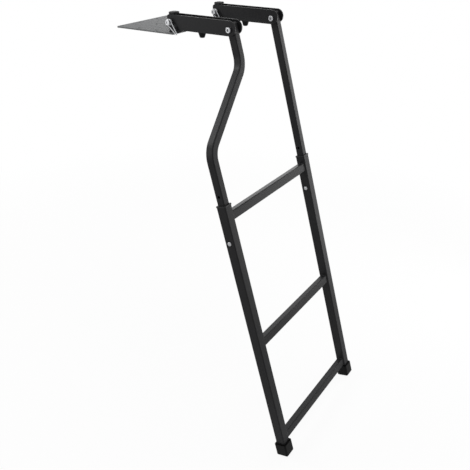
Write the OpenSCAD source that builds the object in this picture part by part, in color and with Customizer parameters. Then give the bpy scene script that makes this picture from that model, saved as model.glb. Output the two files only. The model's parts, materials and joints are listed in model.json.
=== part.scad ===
// Folding tailgate ladder: two telescoping rails with three rungs, hung on two hinged arms
// from a plate that is screwed to the top of a pickup tailgate.
// The origin is the centre of the plate's underside, +Z is up, +Y points into the truck bed
// and +X points to the right of a person who climbs. Sizes are in millimetres.

/* [Mounting plate] */
// Width of the plate along the tailgate
plate_w = 200; // [196:1:300]
// Depth of the plate into the bed
plate_l = 164; // [145:1:240]
// Thickness of the plate
plate_t = 3; // [2:0.5:5]
// Radius of the plate's corners
plate_corner_r = 4; // [2:0.5:12]
// Diameter of the screw holes in the plate
plate_hole_d = 6.5; // [4:0.5:9]
// Distance from the left and right edges to the outer columns of holes
plate_edge_x = 10; // [7:1:18]
// Distance from the rear edge to the rear row of holes
plate_edge_y = 9; // [7:1:20]
// Distance between the rows of holes
plate_row_pitch = 50; // [30:1:52]
// Number of hole columns
plate_columns = 4; // [2:1:5]

/* [Hinge brackets] */
// Distance between the two brackets, middle to middle
bracket_spacing = 165; // [158:1:175]
// Width of the upright post
post_w = 18; // [15:0.5:20]
// Length of the upright post
post_l = 16; // [14:0.5:18]
// Height of the post above the plate
post_h = 42; // [40:0.5:46]
// Wall of the post
post_wall = 3; // [2:0.5:4]
// Radius of the post's upright edges
post_corner_r = 2; // [1:0.25:3]
// Radius of the rounding at the top of the post
post_top_r = 3; // [1:0.5:5]
// Distance from the front of the plate to the front of the post
post_setback = 1; // [0:0.5:3]
// Leg of the weld bead behind the post
weld_leg = 3; // [1.5:0.5:4]
// Height of the hinge line above the underside of the plate
hinge_z = 25; // [24:0.5:32]

/* [Arms] */
// Distance from the hinge line to the ladder pivot, measured level
arm_length = 150; // [120:1:200]
// Height of the channel
arm_h = 30; // [26:0.5:33]
// Thickness of the sheet that the channel is bent from
arm_sheet = 3; // [2:0.5:3.5]
// Room between the post and each side of the channel
arm_side_gap = 1; // [0.5:0.25:1.5]
// Distance from the hinge line to the rear end of the channel's sides
arm_rear = 9; // [8:0.5:12]
// Radius of the upper rear corners of the channel's sides
arm_corner_r = 5; // [2:0.5:8]
// Distance from the post to the rear end of the web
web_setback = 16; // [14:0.5:24]
// How far the ladder pivot sits under the middle of the channel
pivot_drop = 2.5; // [0:0.5:3]
// Distance from the hinge line forward to the rear end of the heel
heel_back = 2; // [0:0.5:4]
// Length of the heel's level underside
heel_flat = 17; // [10:0.5:22]
// Length of the heel where it meets the channel
heel_l = 34; // [26:0.5:40]
// Diameter of the stud on the heel
heel_stud_d = 9; // [7:0.5:13]
// How far the stud stands out of the heel
heel_stud_rise = 3; // [1.5:0.5:3.5]
// Distance from the hinge line to the bumper
bumper_offset = 73; // [60:1:90]
// Diameter of the bumper where it meets the channel
bumper_top_d = 18; // [14:0.5:19]
// Diameter of the bumper at its rounded end
bumper_tip_d = 12; // [8:0.5:13]
// Radius of the rounding at the end of the bumper
bumper_edge_r = 3; // [1:0.5:4]
// How far the bumper's end stands below the underside of the plate
bumper_drop = 2; // [0:0.5:4]
// Diameter of the bumper's stem
bumper_stem_d = 6; // [4:0.5:8]
// Diameter of the button that holds the stem above the web
bumper_button_d = 11; // [9:0.5:14]
// Thickness of that button
bumper_button_t = 2.5; // [1.5:0.5:4]

/* [Pins and bolts] */
// Diameter of the pull pin
pull_pin_d = 8; // [6:0.5:9]
// Length of the pull pin beyond the arm
pull_pin_over = 3; // [1:0.5:6]
// Length of the taper at the pull pin's tip
pull_taper_l = 2.5; // [1:0.5:4]
// Diameter at the end of that taper
pull_taper_d = 5; // [3:0.5:5.5]
// Diameter of the flange of the pull pin's head
pull_head_d = 13; // [11:0.5:14]
// Thickness of that flange
pull_flange_t = 4; // [2:0.25:5]
// Length of the groove between the flange and the knob
pull_groove_l = 4; // [3.5:0.25:6]
// Diameter of the head in the groove
pull_groove_d = 9; // [7:0.5:10]
// Thickness of the knob
pull_knob_t = 3; // [2:0.25:5]
// Diameter of the knob that keeps the wire loop on
pull_knob_d = 11; // [9.5:0.25:13]
// Diameter of the hollow in the knob's end
pull_recess_d = 5; // [3:0.5:7]
// Depth of that hollow
pull_recess_t = 1.5; // [0.5:0.25:2]
// Diameter of the wire of the pull loop
loop_wire_d = 2.4; // [1.5:0.1:3]
// Radius of the loop's small end at the middle of the wire
loop_end_r = 1.8; // [1.5:0.1:4]
// Distance from the pull pin to the end of its wire loop
loop_reach = 30; // [26:0.5:36]
// Angle of the wire loop from hanging straight down
loop_swing = 41; // [0:1:45]
// Diameter of the ladder pivot bolt
pivot_bolt_d = 8; // [6:0.5:9]
// Diameter of the head of the pivot bolt
pivot_head_d = 11.5; // [11:0.5:14]
// Thickness of that head
pivot_head_t = 5; // [3:0.5:6]
// Width of the hexagonal socket in it, corner to corner
pivot_socket_d = 6; // [4:0.5:7]
// Depth of that socket
pivot_socket_t = 3; // [2:0.25:4]
// Width of the pivot bolt's nut, corner to corner
pivot_nut_d = 13; // [11:0.5:15]
// Thickness of that nut
pivot_nut_t = 6; // [4:0.5:8]

/* [Rails] */
// Lean of the rails from upright
lean = 15.5; // [0:0.5:18]
// Distance between the rails, middle to middle
rail_spacing = 326; // [280:1:380]
// Side of the upper square tube
upper_w = 17.5; // [15:0.5:18]
// Wall of the upper tube
upper_wall = 1.5; // [1.2:0.1:2]
// Wall of the lower tube
lower_wall = 2; // [1.5:0.1:2.5]
// Room between the upper tube and the lower tube around it
slide_gap = 0.5; // [0.3:0.05:0.8]
// Outer corner radius of the tubes
tube_corner_r = 2.5; // [2.1:0.1:3]
// Length of rail above the pivot, with its cap
rail_above = 13; // [11:0.5:14]
// Thickness of the cap on top of a rail
cap_h = 4; // [3:0.5:5]
// Width of the cap's sloping edge
cap_edge = 2.5; // [1:0.25:3]
// Distance from the pivot down to the upper corner of the bend
bend_top = 73; // [60:1:90]
// Distance from the pivot down to the lower corner of the bend
bend_bottom = 207; // [190:1:215]
// Radius of the bends at the middle of the tube
bend_r = 45; // [30:1:55]
// Distance from the pivot down to the top of the collars
collar_top = 316; // [300:1:360]
// Thickness of the collar that stands on the lower tube
collar_t = 3; // [2:0.5:6]
// How far the collar stands out of the lower tube
collar_lip = 1; // [0.5:0.25:2]
// Length of the upper rails below the top of the collars
overlap = 115; // [100:1:180]
// Distance from the collars up to the free adjusting holes
hole_above = 19; // [12:1:30]
// Diameter of those holes
adjust_hole_d = 6; // [4:0.5:9]
// Distance from the collars down to the snap buttons
button_below = 81; // [60:1:95]
// Diameter of the snap button
button_d = 9; // [6:0.5:10]
// How far the snap button stands out of the tube
button_rise = 3; // [1.5:0.25:4]

/* [Rungs and feet] */
// Height of a rung
rung_h = 19.5; // [16:0.5:24]
// Depth of a rung
rung_depth = 16.5; // [14:0.5:20]
// Wall of a rung
rung_wall = 1.5; // [1.2:0.1:2]
// Outer corner radius of a rung
rung_corner_r = 2.5; // [2:0.1:3]
// Distance from the collars down to the upper rung
first_rung = 18; // [14:1:40]
// Distance from the upper rung down to the middle rung
upper_step = 299; // [230:1:300]
// Distance from the middle rung down to the lower rung
lower_step = 251; // [200:1:255]
// Distance from the pivot down to the tips of the feet
foot_bottom = 936; // [920:1:1100]
// Thickness of the foot around the rail
foot_side = 3.75; // [2.5:0.25:5]
// Radius of the foot's upright edges
foot_corner_r = 4; // [2:0.5:6]
// Height of a foot
foot_h = 30; // [24:1:40]
// Thickness of the sole under the rail
foot_sole = 7; // [4:0.5:10]
// Height of the narrower lip around the top of the foot
foot_lip = 1.5; // [0.5:0.5:3]

/* [Hidden] */
$fn = 48;
eps = 0.01;
fit_gap = 0.1;
stop_gap = 0.5;
collar_gap = 0.3;
steel_black = "#2b2c2e";
plate_grey = "#8d8f91";
bright_steel = "#d3d4d6";
rubber_black = "#18191a";

bracket_x = bracket_spacing / 2;
hinge_y = -plate_l / 2 + post_setback + post_l / 2;
pivot_y = hinge_y - arm_length;
pivot_z = hinge_z - pivot_drop;
arm_inner_w = post_w + 2 * arm_side_gap;
arm_w = arm_inner_w + 2 * arm_sheet;
heel_z = plate_t + stop_gap - hinge_z;
web_z = hinge_z - arm_h / 2;
pull_seat_x = -arm_w / 2 - stop_gap;
pull_groove_x = pull_seat_x - pull_flange_t - pull_groove_l / 2;

lower_inner_w = upper_w + 2 * slide_gap;
lower_w = lower_inner_w + 2 * lower_wall;
near_rail_x = bracket_x;
far_rail_x = bracket_x - rail_spacing;
bend_shift = rail_spacing - bracket_spacing;
bend_angle = atan2(bend_shift, bend_bottom - bend_top);
bend_tangent = bend_r * tan(bend_angle / 2);
bend_bulge = 0.04;
bend_lap = 1;
rail_bottom = -collar_top - overlap;
rung_length = rail_spacing - lower_w;
rung_tops = [-collar_top - first_rung, -collar_top - first_rung - upper_step,
    -collar_top - first_rung - upper_step - lower_step];
foot_w = lower_w + 2 * foot_side;

// Puts its children on the left or the right bracket line.
module on_bracket(side) {
    translate([side * bracket_x, 0, 0]) children();
}

// Puts its children on the hinge line of the left or the right bracket.
module on_hinge(side) {
    translate([side * bracket_x, hinge_y, hinge_z]) children();
}

// Puts its children in the frame of the ladder: the pivot line is the origin, Z runs up the rails.
module on_ladder() {
    translate([0, pivot_y, pivot_z]) rotate([-lean, 0, 0]) children();
}

// A rod along X from x0 to x1.
module rod_x(d, x0, x1) {
    translate([x0, 0, 0]) rotate([0, 90, 0]) cylinder(d = d, h = x1 - x0);
}

// A flat outline in Y and Z, made thick from x0 to x1.
module profile_x(x0, x1) {
    translate([x0, 0, 0]) rotate([90, 0, 90]) linear_extrude(x1 - x0) children();
}

// A flat rectangle with round corners, centred.
module round_rect(w, l, r) {
    square([w - 2 * r, l], center = true);
    square([w, l - 2 * r], center = true);
    for (x = [-1, 1], y = [-1, 1])
        translate([x * (w / 2 - r), y * (l / 2 - r)]) circle(r = r);
}

// An upright outline that stands on its base, with only its two top corners round.
module round_top(w, h, r) {
    translate([-w / 2, 0]) square([w, h - r]);
    translate([r - w / 2, 0]) square([w - 2 * r, h]);
    for (x = [-1, 1]) translate([x * (w / 2 - r), h - r]) circle(r = r);
}

// The cut through a square tube.
module tube_profile(w, r, wall) {
    difference() {
        round_rect(w, w, r);
        round_rect(w - 2 * wall, w - 2 * wall, r - wall);
    }
}

// The plate with its columns and rows of screw holes.
module mounting_plate() {
    first_x = plate_w / 2 - plate_edge_x;
    rear_y = plate_l / 2 - plate_edge_y;
    pitch_x = 2 * first_x / (plate_columns - 1);
    color(plate_grey) difference() {
        linear_extrude(plate_t) round_rect(plate_w, plate_l, plate_corner_r);
        for (column = [0:plate_columns - 1], row = [0:2])
            translate([-first_x + column * pitch_x, rear_y - row * plate_row_pitch, -eps])
                cylinder(d = plate_hole_d, h = plate_t + 2 * eps);
    }
}

// A hinge bracket: an upright closed post, welded to the plate and bored for the pull pin.
module bracket(side) {
    bead_l = post_w - 2 * post_corner_r;
    color(steel_black) on_bracket(side) translate([0, hinge_y, plate_t]) {
        difference() {
            intersection() {
                linear_extrude(post_h) round_rect(post_w, post_l, post_corner_r);
                profile_x(-post_w / 2, post_w / 2) round_top(post_l, post_h, post_top_r);
                translate([0, post_l / 2, 0]) rotate([90, 0, 0]) linear_extrude(post_l)
                    round_top(post_w, post_h, post_top_r);
            }
            translate([0, 0, -eps]) linear_extrude(post_h - post_wall + eps)
                square([post_w - 2 * post_wall, post_l - 2 * post_wall], center = true);
            translate([0, 0, hinge_z - plate_t]) rod_x(pull_pin_d + 2 * fit_gap, -post_w, post_w);
        }
        translate([0, post_l / 2 - eps, 0]) profile_x(-bead_l / 2, bead_l / 2)
            polygon([[0, 0], [weld_leg, 0], [0, weld_leg]]);
    }
}

// A pull pin with its grooved head and its tapered tip.
module pull_pin(side) {
    tip_x = arm_w / 2 + pull_pin_over;
    knob_x = pull_seat_x - pull_flange_t - pull_groove_l;
    end_x = knob_x - pull_knob_t;
    color(bright_steel) on_hinge(side) {
        rod_x(pull_pin_d, pull_seat_x - eps, tip_x);
        translate([tip_x, 0, 0]) rotate([0, 90, 0])
            cylinder(d1 = pull_pin_d, d2 = pull_taper_d, h = pull_taper_l);
        rod_x(pull_head_d, pull_seat_x - pull_flange_t, pull_seat_x);
        rod_x(pull_groove_d, knob_x - eps, pull_seat_x - pull_flange_t + eps);
        difference() {
            rod_x(pull_knob_d, end_x, knob_x);
            rod_x(pull_recess_d, end_x - eps, end_x + pull_recess_t);
        }
    }
}

// The wire loop that hangs in the groove of a pull pin's head.
module pull_loop(side) {
    big_r = pull_groove_d / 2 + loop_wire_d / 2 + fit_gap;
    reach = loop_reach - loop_end_r;
    slope = asin((big_r - loop_end_r) / reach);
    leg = sqrt(reach * reach - (big_r - loop_end_r) * (big_r - loop_end_r));
    lap = 2 * bend_lap;
    color(bright_steel) on_hinge(side)
        translate([pull_groove_x, 0, 0]) rotate([-loop_swing, 0, 0]) rotate([0, 90, 0]) {
            rotate([0, 0, 90 - slope - lap]) rotate_extrude(angle = 180 + 2 * (slope + lap))
                translate([big_r, 0]) circle(d = loop_wire_d);
            translate([reach, 0, 0]) rotate([0, 0, -90 + slope - lap])
                rotate_extrude(angle = 180 - 2 * (slope - lap))
                    translate([loop_end_r, 0]) circle(d = loop_wire_d);
            for (hand = [-1, 1])
                rotate([0, 0, hand * (90 - slope)]) translate([big_r, 0, 0])
                    rotate([hand * 90, 0, 0]) cylinder(d = loop_wire_d - bend_bulge, h = leg);
        }
}

// The outline of one side of an arm in Y and Z, with the hinge line at the origin.
module arm_outline() {
    top = arm_h / 2;
    middle = -arm_length / 2;
    translate([-arm_length, 0]) circle(d = arm_h);
    translate([-arm_length, -top]) square([arm_length / 2 + eps, arm_h]);
    translate([arm_rear - arm_corner_r, top - arm_corner_r]) circle(r = arm_corner_r);
    polygon([[arm_rear, top - arm_corner_r], [arm_rear - arm_corner_r, top - arm_corner_r],
        [arm_rear - arm_corner_r, top], [middle, top], [middle, -top],
        [-heel_back - heel_l, -top], [-heel_back - heel_flat, heel_z], [-heel_back, heel_z],
        [arm_rear, -arm_rear]]);
}

// One arm: a channel that is open at the top, with a web between its sides.
// The front end of the web is the stop that holds the ladder at its lean.
module arm(side) {
    back_face = upper_w / 2;
    web_top = arm_sheet - arm_h / 2;
    web_depth = (-web_top - pivot_drop - back_face * sin(lean)) / cos(lean);
    web_front = -arm_length + back_face * cos(lean) - web_depth * sin(lean) + stop_gap;
    web_rear = -post_l / 2 - web_setback;
    color(steel_black) on_hinge(side) difference() {
        union() {
            for (x = [-arm_w / 2, arm_w / 2 - arm_sheet]) profile_x(x, x + arm_sheet) arm_outline();
            translate([-arm_inner_w / 2 - eps, web_front, -arm_h / 2])
                cube([arm_inner_w + 2 * eps, web_rear - web_front, arm_sheet]);
        }
        rod_x(pull_pin_d + 2 * fit_gap, -arm_w, arm_w);
        translate([0, -arm_length, -pivot_drop]) rod_x(pivot_bolt_d, -arm_w, arm_w);
        translate([0, -bumper_offset, -arm_h]) cylinder(d = bumper_stem_d, h = arm_h);
    }
}

// The round stud on the outer face of an arm's heel.
module heel_stud(side) {
    stud_y = -heel_back - heel_flat / 2 - heel_stud_d / 2;
    stud_z = heel_z + heel_stud_d;
    step = heel_stud_rise / 3;
    color(steel_black) on_hinge(side) translate([-arm_w / 2, stud_y, stud_z]) {
        rod_x(heel_stud_d, step - heel_stud_rise, 0);
        rod_x(heel_stud_d - 2 * step, -heel_stud_rise, step - heel_stud_rise + eps);
    }
}

// A rubber bumper under an arm, with its stem through the web and the button that holds it.
module bumper(side) {
    tip_r = bumper_tip_d / 2;
    rise = web_z + bumper_drop;
    color(rubber_black) on_bracket(side) translate([0, hinge_y - bumper_offset, -bumper_drop]) {
        rotate_extrude() {
            translate([tip_r - bumper_edge_r, bumper_edge_r]) circle(r = bumper_edge_r);
            polygon([[0, 0], [tip_r - bumper_edge_r, 0], [tip_r, bumper_edge_r],
                [bumper_top_d / 2, rise], [0, rise]]);
        }
        translate([0, 0, rise - eps]) cylinder(d = bumper_stem_d, h = arm_sheet + 2 * eps);
        translate([0, 0, rise + arm_sheet]) cylinder(d = bumper_button_d, h = bumper_button_t);
    }
}

// The bolt that the ladder swings on, with its socket head outside and its nut inside.
module pivot_bolt(side) {
    head_x = -arm_w / 2 - pivot_head_t;
    color(bright_steel) on_bracket(side) translate([0, pivot_y, pivot_z]) {
        rod_x(pivot_bolt_d, -arm_w / 2 - eps, arm_w / 2 + eps);
        difference() {
            rod_x(pivot_head_d, head_x, -arm_w / 2);
            translate([head_x - eps, 0, 0]) rotate([0, 90, 0])
                cylinder(d = pivot_socket_d, h = pivot_socket_t + eps, $fn = 6);
        }
        translate([arm_w / 2, 0, 0]) rotate([0, 90, 0])
            cylinder(d = pivot_nut_d, h = pivot_nut_t, $fn = 6);
    }
}

// The bent upper rail as a solid, drawn in on every side by an inset.
// The bends lap onto the straight lengths and are a hair fuller than they are.
module bent_run(inset) {
    w = upper_w - 2 * inset;
    r = tube_corner_r - inset;
    full_w = w + 2 * bend_bulge;
    full_r = r + bend_bulge;
    turn = bend_angle + bend_lap;
    sweep = bend_angle + 2 * bend_lap;
    top = rail_above - cap_h;
    bend_start = bend_tangent - bend_top;
    bend_end = -bend_bottom - bend_tangent;
    slant = (bend_bottom - bend_top) / cos(bend_angle) - 2 * bend_tangent;
    translate([0, 0, bend_start]) linear_extrude(top - bend_start + inset) round_rect(w, w, r);
    translate([-bend_r, 0, bend_start]) rotate([90, 0, 0]) rotate([0, 0, -turn])
        rotate_extrude(angle = sweep)
            translate([bend_r, 0]) round_rect(full_w, full_w, full_r);
    translate([0, 0, -bend_top]) rotate([0, bend_angle, 0])
        translate([0, 0, -bend_tangent - slant]) linear_extrude(slant) round_rect(w, w, r);
    translate([bend_r - bend_shift, 0, bend_end]) rotate([90, 0, 0]) rotate([0, 0, 180 - turn])
        rotate_extrude(angle = sweep)
            translate([bend_r, 0]) round_rect(full_w, full_w, full_r);
    translate([-bend_shift, 0, rail_bottom - inset])
        linear_extrude(bend_end - rail_bottom + inset) round_rect(w, w, r);
}

// The bores in a rail for the pivot bolt, and in its left side for the adjusting button.
module rail_holes(shift) {
    rod_x(pivot_bolt_d + 2 * fit_gap, -upper_w, upper_w);
    translate([shift, 0, hole_above - collar_top]) rod_x(adjust_hole_d, -upper_w, 0);
}

// The straight upper rail on the right.
module upper_rail_right() {
    color(steel_black) on_ladder() translate([near_rail_x, 0, 0]) difference() {
        translate([0, 0, rail_bottom]) linear_extrude(rail_above - cap_h - rail_bottom)
            tube_profile(upper_w, tube_corner_r, upper_wall);
        rail_holes(0);
    }
}

// The upper rail on the left, bent outward between the arms and the wider lower frame.
module upper_rail_left() {
    color(steel_black) on_ladder() translate([-bracket_x, 0, 0]) difference() {
        bent_run(0);
        bent_run(upper_wall);
        rail_holes(-bend_shift);
    }
}

// The side view of a rail's cap, with its sloping edges.
module cap_outline() {
    half = upper_w / 2;
    polygon([[-half, 0], [half, 0], [half, cap_h - cap_edge], [half - cap_edge, cap_h],
        [cap_edge - half, cap_h], [-half, cap_h - cap_edge]]);
}

// A moulded cap on the top of an upper rail.
module rail_cap(side) {
    color(rubber_black) on_ladder() translate([side * bracket_x, 0, rail_above - cap_h])
        intersection() {
            linear_extrude(cap_h) round_rect(upper_w, upper_w, tube_corner_r);
            profile_x(-upper_w / 2, upper_w / 2) cap_outline();
            translate([0, upper_w / 2, 0]) rotate([90, 0, 0]) linear_extrude(upper_w) cap_outline();
        }
}

// The lower tube of one rail, with the hole for its snap button.
module lower_rail(x) {
    rail_end = foot_sole - foot_bottom;
    color(steel_black) on_ladder() translate([x, 0, 0]) difference() {
        translate([0, 0, rail_end]) linear_extrude(-collar_top - collar_t - rail_end)
            tube_profile(lower_w, tube_corner_r, lower_wall);
        translate([0, 0, -collar_top - button_below]) rod_x(button_d + 2 * fit_gap, -lower_w, 0);
    }
}

// The moulded collar that guides the upper rail into the lower one.
module collar(x) {
    outer_w = lower_w + 2 * collar_lip;
    inner_w = upper_w + 2 * collar_gap;
    color(rubber_black) on_ladder() translate([x, 0, -collar_top - collar_t]) difference() {
        linear_extrude(collar_t) round_rect(outer_w, outer_w, tube_corner_r + collar_lip);
        translate([0, 0, -eps]) linear_extrude(collar_t + 2 * eps)
            round_rect(inner_w, inner_w, tube_corner_r);
    }
}

// A rung: a tube that runs from rail to rail.
module rung(index) {
    color(steel_black) on_ladder() translate([0, 0, rung_tops[index] - rung_h / 2])
        profile_x(far_rail_x + lower_w / 2, near_rail_x - lower_w / 2) difference() {
            round_rect(rung_depth, rung_h, rung_corner_r);
            round_rect(rung_depth - 2 * rung_wall, rung_h - 2 * rung_wall, rung_corner_r - rung_wall);
        }
}

// A moulded foot around the end of a lower rail.
module foot(x) {
    lip_w = foot_w - 2 * foot_lip;
    color(rubber_black) on_ladder() translate([x, 0, -foot_bottom]) difference() {
        union() {
            linear_extrude(foot_h) round_rect(foot_w, foot_w, foot_corner_r);
            translate([0, 0, foot_h - eps]) linear_extrude(foot_lip)
                round_rect(lip_w, lip_w, foot_corner_r);
        }
        translate([0, 0, foot_sole]) linear_extrude(foot_h)
            round_rect(lower_w, lower_w, tube_corner_r);
    }
}

// A spring button that stands out of the lower rail.
module snap_button(x) {
    crown = button_rise / 2;
    color(bright_steel) on_ladder() translate([x - lower_w / 2, 0, -collar_top - button_below]) {
        rod_x(button_d, -crown, lower_wall);
        translate([eps - crown, 0, 0]) rotate([0, -90, 0])
            cylinder(d1 = button_d, d2 = button_d - 2 * crown, h = crown);
    }
}

mounting_plate();
bracket(-1);  // bracket_left
bracket(1);  // bracket_right
pull_pin(-1);  // pull_pin_left
pull_pin(1);  // pull_pin_right
pull_loop(-1);  // pull_loop_left
pull_loop(1);  // pull_loop_right
arm(-1);  // arm_left
arm(1);  // arm_right
heel_stud(-1);  // heel_stud_left
heel_stud(1);  // heel_stud_right
bumper(-1);  // bumper_left
bumper(1);  // bumper_right
pivot_bolt(-1);  // pivot_bolt_left
pivot_bolt(1);  // pivot_bolt_right
upper_rail_left();
upper_rail_right();
rail_cap(-1);  // rail_cap_left
rail_cap(1);  // rail_cap_right
collar(far_rail_x);  // collar_left
collar(near_rail_x);  // collar_right
lower_rail(far_rail_x);  // lower_rail_left
lower_rail(near_rail_x);  // lower_rail_right
rung(0);  // rung_top
rung(1);  // rung_middle
rung(2);  // rung_bottom
foot(far_rail_x);  // foot_left
foot(near_rail_x);  // foot_right
snap_button(far_rail_x);  // snap_button_left
snap_button(near_rail_x);  // snap_button_right
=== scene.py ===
"""Looks of a folding tailgate ladder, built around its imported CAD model.

Each sub-assembly is a class that holds its sizes in millimetres, models its pieces with bmesh
operators where the CAD model has them, dresses them and puts them on the body they move with.
"""

import json
import logging
import math
from dataclasses import dataclass, field
from enum import Enum
from typing import Any, Iterable, Sequence

import bmesh
import bpy
from mathutils import Matrix, Vector


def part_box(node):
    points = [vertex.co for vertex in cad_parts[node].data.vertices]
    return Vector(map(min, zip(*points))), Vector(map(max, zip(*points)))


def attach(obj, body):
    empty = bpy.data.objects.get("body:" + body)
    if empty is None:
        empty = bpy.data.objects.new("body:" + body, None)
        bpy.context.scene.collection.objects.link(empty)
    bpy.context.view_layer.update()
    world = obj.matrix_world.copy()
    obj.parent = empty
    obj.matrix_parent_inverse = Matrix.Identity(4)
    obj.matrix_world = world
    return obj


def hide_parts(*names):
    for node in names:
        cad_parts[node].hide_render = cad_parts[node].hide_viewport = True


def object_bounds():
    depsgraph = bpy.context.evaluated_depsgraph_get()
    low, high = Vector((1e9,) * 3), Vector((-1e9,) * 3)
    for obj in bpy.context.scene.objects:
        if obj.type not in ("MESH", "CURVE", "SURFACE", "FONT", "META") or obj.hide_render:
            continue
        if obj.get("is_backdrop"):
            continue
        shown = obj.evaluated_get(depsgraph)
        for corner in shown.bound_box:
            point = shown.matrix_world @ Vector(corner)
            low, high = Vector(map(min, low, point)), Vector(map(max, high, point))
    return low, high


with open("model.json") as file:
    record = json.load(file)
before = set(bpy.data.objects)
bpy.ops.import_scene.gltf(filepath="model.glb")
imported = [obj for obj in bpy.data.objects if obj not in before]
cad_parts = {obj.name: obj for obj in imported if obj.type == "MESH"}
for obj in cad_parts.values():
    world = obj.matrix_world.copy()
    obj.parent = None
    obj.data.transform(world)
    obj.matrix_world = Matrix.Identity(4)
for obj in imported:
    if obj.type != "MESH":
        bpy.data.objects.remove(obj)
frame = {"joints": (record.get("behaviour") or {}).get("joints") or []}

# Lengths are in millimetres and angles in degrees, unless a comment or docstring says otherwise.
LOG = logging.getLogger("tailgate_ladder")
MM = 0.001
MERGE_GAP = 0.002
SAME_PLANE = 0.01
SAME_WAY = 0.999
NOISE_ROUGHNESS = 0.6
MIX_FACTOR, MIX_FIRST, MIX_SECOND, MIX_RESULT = 0, 6, 7, 2
HOLE_SIDES = 24
CORNER_STEPS = 5
WELD_SHARP = 60.0
QUARTER_TURN = tuple(math.radians(15 * step) for step in range(7))
ALONG_X = Matrix.Rotation(math.radians(90), 4, "Y")
HEX_ALONG_X = ALONG_X @ Matrix.Rotation(math.radians(30), 4, "Z")
UPRIGHT = Matrix.Rotation(math.radians(-90), 4, "Y")


class Side(Enum):
    """The left or right of a person who climbs the ladder."""

    LEFT = -1
    RIGHT = 1

    @property
    def label(self) -> str:
        """The side's name as it stands in node and piece names."""
        return self.name.lower()


class Slot(Enum):
    """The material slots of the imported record."""

    PLATE = "plate"
    FRAME = "frame"
    BRIGHT = "bright"
    BUMPER = "bumper"
    MOULDING = "moulding"
    FOOT = "foot"


class Socket:
    """An output socket that takes part in Python sums, each of which adds a Math node."""

    def __init__(self, graph: "Graph", socket: bpy.types.NodeSocket) -> None:
        """Keeps the socket and the graph that it belongs to."""
        self.graph = graph
        self.socket = socket

    def _sum(self, operation: str, first: Any, second: Any) -> "Socket":
        """Adds one Math node on two values or sockets."""
        return self.graph.node("ShaderNodeMath", {0: first, 1: second}, operation=operation)

    def __add__(self, other: Any) -> "Socket":
        """This value plus another."""
        return self._sum("ADD", self, other)

    def __radd__(self, other: Any) -> "Socket":
        """Another value plus this one."""
        return self._sum("ADD", other, self)

    def __sub__(self, other: Any) -> "Socket":
        """This value less another."""
        return self._sum("SUBTRACT", self, other)

    def __rsub__(self, other: Any) -> "Socket":
        """Another value less this one."""
        return self._sum("SUBTRACT", other, self)

    def __mul__(self, other: Any) -> "Socket":
        """This value times another."""
        return self._sum("MULTIPLY", self, other)

    def __rmul__(self, other: Any) -> "Socket":
        """Another value times this one."""
        return self._sum("MULTIPLY", other, self)


class Graph:
    """The node tree of one material, or of the world."""

    def __init__(self, tree: bpy.types.NodeTree) -> None:
        """Empties the tree and starts afresh."""
        self.tree = tree
        tree.nodes.clear()

    def node(self, kind: str, inputs: dict[Any, Any] | None = None, output: Any = 0,
             **settings: Any) -> Socket | None:
        """Adds a node and gives back one of its outputs.

        Args:
            kind: The node's type name.
            inputs: Values or links, by the name or the number of the socket.
            output: The name or the number of the output to give back.
            **settings: The node's own settings, such as its operation.

        Returns:
            The output, ready for sums and links, or None where the node has none.
        """
        made = self.tree.nodes.new(kind)
        for key, value in settings.items():
            setattr(made, key, value)
        for key, value in (inputs or {}).items():
            if isinstance(value, Socket):
                self.tree.links.new(value.socket, made.inputs[key])
            else:
                made.inputs[key].default_value = value
        return Socket(self, made.outputs[output]) if made.outputs else None

    def noise(self, place: Socket, grain: float, detail: float = 3.0) -> Socket:
        """Even noise over an object.

        Args:
            place: Where the noise is read, in metres.
            grain: The size of one grain in millimetres.
            detail: How many finer layers it has.

        Returns:
            The noise as a value from 0 to 1.
        """
        return self.node("ShaderNodeTexNoise", {
            "Vector": place, "Scale": 1.0 / (grain * MM), "Detail": detail,
            "Roughness": NOISE_ROUGHNESS})


@dataclass(frozen=True)
class Finish:
    """A finish with a fine surface grain, a slow change of tone and a soft or hard gloss."""

    name: str
    slot: Slot
    colour: tuple[float, float, float]
    roughness: float
    metallic: float = 0.0
    specular: float = 0.5
    grain: float = 0.8
    grain_depth: float = 0.02
    stretch: tuple[float, float, float] = (1.0, 1.0, 1.0)
    cloud: float = 30.0
    cloud_detail: float = 4.0
    speck: float = 0.4
    contrast: float = 0.45
    gloss_change: float = 0.3

    def build(self) -> bpy.types.Material:
        """Makes the material.

        Returns:
            A material whose tone, gloss and grain come from Object coordinates.
        """
        material = bpy.data.materials.new(self.name)
        material.use_nodes = True
        graph = Graph(material.node_tree)
        place = graph.node("ShaderNodeTexCoord", output="Object")
        drawn = graph.node("ShaderNodeMapping", {"Vector": place, "Scale": self.stretch})
        grain = graph.noise(drawn, self.grain)
        cloud = graph.noise(place, self.cloud, self.cloud_detail)
        tone = self.speck * grain + (1 - self.speck) * cloud
        colour = graph.node("ShaderNodeMix", {
            MIX_FACTOR: tone, MIX_FIRST: self.tint(1 - self.contrast),
            MIX_SECOND: self.tint(1 + self.contrast)}, output=MIX_RESULT, data_type="RGBA")
        gloss = self.roughness * (1 + self.gloss_change * (cloud - tone))
        bump = graph.node("ShaderNodeBump", {
            "Strength": 1.0, "Distance": self.grain_depth * MM, "Height": grain})
        shader = graph.node("ShaderNodeBsdfPrincipled", {
            "Base Color": colour, "Roughness": gloss, "Normal": bump,
            "Metallic": self.metallic, "Specular IOR Level": self.specular})
        graph.node("ShaderNodeOutputMaterial", {"Surface": shader})
        return material

    def tint(self, share: float) -> tuple[float, float, float, float]:
        """The colour made lighter or darker by a share."""
        return (*(min(1.0, channel * share) for channel in self.colour), 1.0)


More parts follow.
